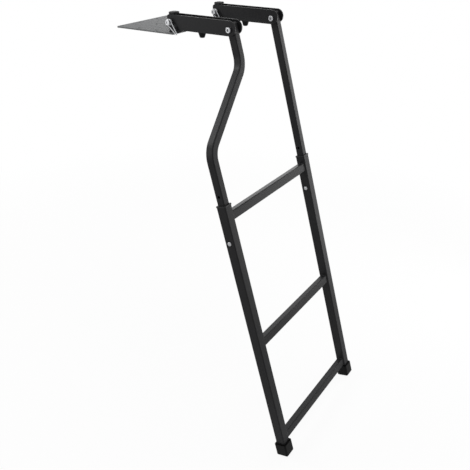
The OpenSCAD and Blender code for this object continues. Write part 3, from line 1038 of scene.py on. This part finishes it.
@dataclass
class UpperLadder:
    """The upper rails, one bent and one straight, with the caps on their tops."""

    layout: Layout
    workshop: Workshop
    wall: float = 1.5
    above: float = 13.0
    cap_h: float = 4.0
    cap_edge: float = 2.5
    cap_slope: float = 0.98
    cap_round: float = 0.4
    cap_sharp: float = 25.0
    bend_top: float = 73.0
    bend_bottom: float = 207.0
    bend_r: float = 45.0
    bend_steps: int = 14
    bottom: float = 431.0
    bolt_bore_r: float = 4.1
    adjust_r: float = 3.0
    hole_above: float = 19.0
    hole_room: float = 6.0

    def build(self) -> None:
        """Makes both rails and caps."""
        self.straight_rail()
        self.bent_rail()
        for side in Side:
            self.cap(side)

    def start(self) -> tuple[Shape, list[bmesh.types.BMEdge]]:
        """Starts a rail at its top.

        Returns:
            The rail in the making and the outline at its top.
        """
        shape = Shape()
        w = self.layout.upper_w
        face = shape.panel(w, w, self.layout.tube_corner_r, self.above - self.cap_h)
        return shape, shape.outline(face)

    def finish(self, shape: Shape, side: Side, shift: float, name: str) -> None:
        """Bores a rail, gives it its wall and places it.

        Args:
            shape: The rail's skin, with its upper end around the Z axis.
            side: The side that it is on.
            shift: How far left its lower end lies of its upper one.
            name: The piece's name.
        """
        half = self.layout.upper_w / 2
        adjust_z = self.hole_above - self.layout.collar_top
        shape.clean()
        for z in (0.0, adjust_z):
            shape.cut_across(z, self.hole_room)
        for x in (-half, half):
            shape.punch(Matrix.Translation((x, 0, 0)) @ ALONG_X, self.bolt_bore_r)
        shape.punch(Matrix.Translation((-shift - half, 0, adjust_z)) @ ALONG_X, self.adjust_r)
        shape.wall(self.wall)
        shape.place(self.layout.on_ladder(side.value * self.layout.bracket_x))
        shape.make(name, BLACK_COAT, "upper_ladder", self.workshop, f"upper_rail_{side.label}")

    def straight_rail(self) -> None:
        """The straight rail on the right."""
        shape, end = self.start()
        length = self.above - self.cap_h + self.bottom
        shape.lead(end, Matrix.Translation((0, 0, -length)))
        self.finish(shape, Side.RIGHT, 0.0, "straight_rail")

    def bent_rail(self) -> None:
        """The left rail, which swings out between the arm and the wider lower frame."""
        shift = -self.layout.left_rail_x - self.layout.bracket_x
        drop = self.bend_bottom - self.bend_top
        angle = math.atan2(shift, drop)
        tangent = self.bend_r * math.tan(angle / 2)
        slant = math.hypot(shift, drop) - 2 * tangent
        bend_start = tangent - self.bend_top
        bend_end = -self.bend_bottom - tangent
        shape, end = self.start()
        end = shape.lead(end, Matrix.Translation((0, 0, bend_start - self.above + self.cap_h)))
        end = shape.bend(end, (-self.bend_r, 0, bend_start), (0, 1, 0), math.degrees(angle),
                         self.bend_steps)
        end = shape.lead(end, Matrix.Translation(
            (-math.sin(angle) * slant, 0, -math.cos(angle) * slant)))
        end = shape.bend(end, (self.bend_r - shift, 0, bend_end), (0, 1, 0),
                         -math.degrees(angle), self.bend_steps)
        shape.lead(end, Matrix.Translation((0, 0, -self.bottom - bend_end)))
        self.finish(shape, Side.LEFT, shift, "bent_rail")

    def cap(self, side: Side) -> None:
        """The moulded cap with sloping edges.

        Args:
            side: The side that it is on.
        """
        w = self.layout.upper_w
        shape = Shape()
        face = shape.panel(w, w, self.layout.tube_corner_r)
        top = shape.raise_face(face, (0, 0, self.cap_h - self.cap_edge))
        shape.draw_in(top, self.cap_edge * self.cap_slope, (0, 0, self.cap_edge))
        shape.soften(self.cap_round, self.cap_sharp)
        shape.place(self.layout.on_ladder(side.value * self.layout.bracket_x,
                                          self.cap_h - self.above))
        shape.make(f"{side.label}_rail_cap", CAP_PLASTIC, "upper_ladder", self.workshop,
                   f"rail_cap_{side.label}")


@dataclass
class LowerLadder:
    """The frame that slides on the upper rails: tubes, collars, rungs, feet and buttons."""

    layout: Layout
    workshop: Workshop
    wall: float = 2.0
    collar_t: float = 3.0
    collar_lip: float = 1.0
    collar_gap: float = 0.3
    collar_round: float = 0.6
    foot_bottom: float = 936.0
    foot_sole: float = 7.0
    foot_side: float = 3.75
    foot_h: float = 30.0
    foot_lip: float = 1.5
    foot_corner_r: float = 4.0
    sole_round: float = 2.5
    sole_steps: int = 4
    rung_h: float = 19.5
    rung_depth: float = 16.5
    rung_corner_r: float = 2.5
    rung_wall: float = 1.5
    rungs: tuple[tuple[str, float], ...] = (("top", 334.0), ("middle", 633.0), ("bottom", 884.0))
    button_r: float = 4.5
    button_rise: float = 3.0
    button_gap: float = 0.1
    button_steps: int = 32
    dome_share: float = 0.6
    button_below: float = 81.0
    button_room: float = 8.0
    bead_r: float = 1.3
    bead_corner_steps: int = 3

    def build(self) -> None:
        """Makes all the pieces of the lower frame."""
        for side, x in ((Side.LEFT, self.layout.left_rail_x), (Side.RIGHT, self.layout.bracket_x)):
            self.tube(side, x)
            self.collar(side, x)
            self.foot(side, x)
            self.button(side, x)
        for name, top in self.rungs:
            self.rung(name, top)

    def tube(self, side: Side, x: float) -> None:
        """The lower tube of a rail, with the hole for its button.

        Args:
            side: The side that it is on.
            x: Where the middle of its rail is.
        """
        shape = Shape()
        w = self.layout.lower_w
        top = -self.layout.collar_top - self.collar_t
        button_z = -self.layout.collar_top - self.button_below
        end = shape.outline(shape.panel(w, w, self.layout.tube_corner_r, top))
        shape.lead(end, Matrix.Translation((0, 0, self.foot_sole - self.foot_bottom - top)))
        shape.clean()
        shape.cut_across(button_z, self.button_room)
        shape.punch(Matrix.Translation((-w / 2, 0, button_z)) @ ALONG_X,
                    self.button_r + self.button_gap)
        shape.wall(self.wall)
        shape.place(self.layout.on_ladder(x))
        shape.make(f"{side.label}_lower_tube", BLACK_COAT, "lower_ladder", self.workshop,
                   f"lower_rail_{side.label}")

    def collar(self, side: Side, x: float) -> None:
        """The moulded collar at the top of a lower tube.

        Args:
            side: The side that it is on.
            x: Where the middle of its rail is.
        """
        outer = self.layout.lower_w + 2 * self.collar_lip
        inner = self.layout.upper_w + 2 * self.collar_gap
        corner = self.layout.tube_corner_r
        shape = Shape()
        edges = shape.outline(shape.panel(outer, outer, corner + self.collar_lip))
        edges += shape.outline(shape.panel(inner, inner, corner))
        shape.thicken(shape.fill(edges), (0, 0, self.collar_t))
        shape.soften(self.collar_round)
        shape.place(self.layout.on_ladder(x, self.layout.collar_top + self.collar_t))
        shape.make(f"{side.label}_guide_collar", CAP_PLASTIC, "lower_ladder", self.workshop,
                   f"collar_{side.label}")

    def foot(self, side: Side, x: float) -> None:
        """The moulded foot with its lip, its rounded sole and the hollow that holds the tube.

        Args:
            side: The side that it is on.
            x: Where the middle of its rail is.
        """
        w = self.layout.lower_w + 2 * self.foot_side
        shape = Shape()
        shape.raise_face(shape.panel(w, w, self.foot_corner_r), (0, 0, self.foot_h))
        shape.clean()
        sole = [edge for edge in shape.bm.edges if max(v.co.z for v in edge.verts) < MERGE_GAP]
        shape.round_edges(sole, self.sole_round, self.sole_steps)
        top = max((face for face in shape.bm.faces if face.normal.z > SAME_WAY),
                  key=lambda face: face.calc_center_median().z)
        lip = shape.step_face(top, self.foot_lip, (0, 0, self.foot_lip))
        shape.step_face(lip, self.foot_side - self.foot_lip,
                        (0, 0, self.foot_sole - self.foot_h - self.foot_lip))
        shape.place(self.layout.on_ladder(x, self.foot_bottom))
        shape.make(f"{side.label}_rubber_foot", FOOT_RUBBER, "lower_ladder", self.workshop,
                   f"foot_{side.label}")

    def button(self, side: Side, x: float) -> None:
        """The domed spring button.

        Args:
            side: The side that it is on.
            x: Where the middle of its rail is.
        """
        r, dome = self.button_r, self.button_rise * self.dome_share
        rim = dome - self.button_rise
        shape = Shape()
        shape.turned([(self.wall, 0), (self.wall, r), (rim, r)]
                     + [(rim - dome * math.sin(a), r * math.cos(a)) for a in QUARTER_TURN],
                     self.button_steps)
        shape.place(self.layout.on_ladder(x - self.layout.lower_w / 2,
                                          self.layout.collar_top + self.button_below))
        shape.make(f"{side.label}_spring_button", BRIGHT_STEEL, "lower_ladder", self.workshop,
                   f"snap_button_{side.label}")

    def rung(self, name: str, top: float) -> None:
        """A rung with the weld bead round each end.

        Args:
            name: The rung's name.
            top: How far down the rails its upper face is.
        """
        half = self.layout.lower_w / 2
        start, end = self.layout.left_rail_x + half, self.layout.bracket_x - half
        shape = Shape()
        edges = shape.outline(shape.panel(self.rung_h, self.rung_depth, self.rung_corner_r))
        shape.lead(edges, Matrix.Translation((0, 0, end - start)))
        shape.wall(self.rung_wall)
        middle = top + self.rung_h / 2
        shape.place(self.layout.on_ladder(start, middle) @ ALONG_X)
        shape.make(f"{name}_rung", BLACK_COAT, "lower_ladder", self.workshop, f"rung_{name}")
        for label, x in (("left", start), ("right", end)):
            self.rung_weld(f"{name}_rung_{label}_weld", x, middle)

    def rung_weld(self, name: str, x: float, down: float) -> None:
        """The weld bead round one end of a rung.

        Args:
            name: The bead's name.
            x: Where the rung meets the rail.
            down: How far down the rails the rung's middle is.
        """
        r = self.rung_corner_r
        y, z = self.rung_depth / 2 - r, self.rung_h / 2 - r
        corners = []
        for quarter, (side_y, side_z) in enumerate(((y, z), (-y, z), (-y, -z), (y, -z))):
            for step in range(self.bead_corner_steps + 1):
                a = math.radians(90 * (quarter + step / self.bead_corner_steps))
                corners.append(Vector((0, side_y + r * math.cos(a), side_z + r * math.sin(a))))
        bead = WeldBead(self.bead_r, corners, True)
        bead.place(self.layout.on_ladder(x, down))
        bead.make(name, BLACK_COAT, "lower_ladder", self.workshop, sharp=WELD_SHARP)


@dataclass(frozen=True)
class Viewpoint:
    """The photograph's camera, in millimetres, with its axes and its focal length in pixels."""

    place: tuple[float, float, float] = (-1121.17, -929.76, 243.16)
    right: tuple[float, float, float] = (0.55866, -0.82937, -0.00581)
    down: tuple[float, float, float] = (-0.40391, -0.26594, -0.87529)
    forward: tuple[float, float, float] = (0.72440, 0.49134, -0.48356)
    focal_px: float = 599.6
    image_px: float = 470.0
    sensor: float = 36.0

    def build(self) -> None:
        """Makes the camera and gives it to the scene."""
        data = bpy.data.cameras.new("viewpoint")
        data.sensor_width = self.sensor
        data.lens = self.focal_px / self.image_px * self.sensor
        camera = bpy.data.objects.new("viewpoint", data)
        axes = Matrix((self.right, -Vector(self.down), -Vector(self.forward))).transposed()
        turn = axes.to_quaternion().to_matrix().to_4x4()
        camera.matrix_world = Matrix.Translation(Vector(self.place) * MM) @ turn
        bpy.context.scene.collection.objects.link(camera)
        bpy.context.scene.camera = camera


@dataclass(frozen=True)
class SoftBox:
    """A soft square studio light that looks at a point, in metres and watts."""

    name: str
    place: tuple[float, float, float]
    target: tuple[float, float, float]
    size: float
    power: float

    def build(self) -> None:
        """Makes the light."""
        data = bpy.data.lights.new(self.name, "AREA")
        data.shape = "SQUARE"
        data.size = self.size
        data.energy = self.power
        light = bpy.data.objects.new(self.name, data)
        aim = Vector(self.target) - Vector(self.place)
        light.matrix_world = (Matrix.Translation(self.place)
                              @ aim.to_track_quat("-Z", "Y").to_matrix().to_4x4())
        bpy.context.scene.collection.objects.link(light)


@dataclass(frozen=True)
class Studio:
    """A plain pale floor and world, with soft lights."""

    floor_drop: float = 0.001
    floor_size: float = 40.0
    floor_colour: tuple[float, float, float] = (0.9, 0.9, 0.9)
    shadow_share: float = 0.1
    shadow_reach: float = 1.6
    world_light: float = 0.33
    lights: tuple[SoftBox, ...] = (
        SoftBox("top_light", (-0.3, -0.3, 2.2), (-0.1, -0.3, -0.4), 2.0, 19.0),
        SoftBox("right_light", (0.9, -0.55, -0.1), (0.08, -0.3, -0.2), 0.5, 3.1),
        SoftBox("low_light", (0.7, -0.9, -0.5), (0.08, -0.35, -0.45), 0.6, 2.4),
        SoftBox("rear_right_light", (0.8, 0.4, -0.1), (0.0, -0.3, -0.3), 0.6, 1.7),
        SoftBox("rear_left_light", (-0.45, 0.95, 0.75), (-0.15, -0.25, -0.12), 0.6, 8.0),
        SoftBox("left_light", (-1.0, 0.55, 0.05), (-0.1, -0.25, -0.1), 0.5, 2.0),
    )

    def build(self) -> None:
        """Makes the floor, the world and the lights."""
        bpy.context.scene.view_settings.view_transform = "Standard"
        self.floor()
        self.world()
        for light in self.lights:
            light.build()

    @staticmethod
    def seen(graph: Graph) -> Socket:
        """Tells where the camera, a gloss or a glass looks at a surface.

        Args:
            graph: The material's or the world's node tree.

        Returns:
            A value that is 1 there and 0 for the light that falls on the ladder.
        """
        rays = [graph.node("ShaderNodeLightPath", output=name)
                for name in ("Is Camera Ray", "Is Glossy Ray", "Is Transmission Ray")]
        return rays[0] + rays[1] + rays[2]

    def floor(self) -> None:
        """A pale floor that is white to the camera and keeps a soft shadow."""
        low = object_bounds()[0].z - self.floor_drop
        bm = bmesh.new()
        bmesh.ops.create_grid(bm, x_segments=1, y_segments=1, size=self.floor_size / 2,
                              matrix=Matrix.Translation((0, 0, low)))
        mesh = bpy.data.meshes.new("pale_floor")
        bm.to_mesh(mesh)
        bm.free()
        floor = bpy.data.objects.new("pale_floor", mesh)
        bpy.context.scene.collection.objects.link(floor)
        material = bpy.data.materials.new("pale_floor")
        material.use_nodes = True
        graph = Graph(material.node_tree)
        matt = graph.node("ShaderNodeBsdfDiffuse", {"Color": (*self.floor_colour, 1.0)})
        white = graph.node("ShaderNodeEmission", {"Color": (1, 1, 1, 1), "Strength": 1.0})
        place = graph.node("ShaderNodeTexCoord", output="Object")
        scale = (1 / self.shadow_reach, 1 / self.shadow_reach, 0)
        spread = graph.node("ShaderNodeMapping", {"Vector": place, "Scale": scale})
        near = graph.node("ShaderNodeTexGradient", {"Vector": spread}, output="Fac",
                          gradient_type="SPHERICAL")
        share = self.seen(graph) * (1 - self.shadow_share * near)
        mixed = graph.node("ShaderNodeMixShader", {0: share, 1: matt, 2: white})
        graph.node("ShaderNodeOutputMaterial", {"Surface": mixed})
        mesh.materials.append(material)
        floor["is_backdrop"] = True

    def world(self) -> None:
        """A world that is white to the camera and lights the ladder evenly."""
        world = bpy.data.worlds.new("studio")
        bpy.context.scene.world = world
        world.use_nodes = True
        graph = Graph(world.node_tree)
        strength = self.seen(graph) * (1 - self.world_light) + self.world_light
        light = graph.node("ShaderNodeBackground", {"Color": (1, 1, 1, 1), "Strength": strength})
        graph.node("ShaderNodeOutputWorld", {"Surface": light})


def main() -> None:
    """Builds the camera, the studio and every sub-assembly."""
    logging.basicConfig(level=logging.INFO, format="%(message)s")
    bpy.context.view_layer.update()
    Viewpoint().build()
    Studio().build()
    layout, workshop = Layout.from_frame(frame["joints"]), Workshop()
    for assembly in (MountingPlate, PullPins, Arms, UpperLadder, LowerLadder):
        LOG.info("building %s", assembly.__name__)
        assembly(layout, workshop).build()


if __name__ == "__main__":
    main()
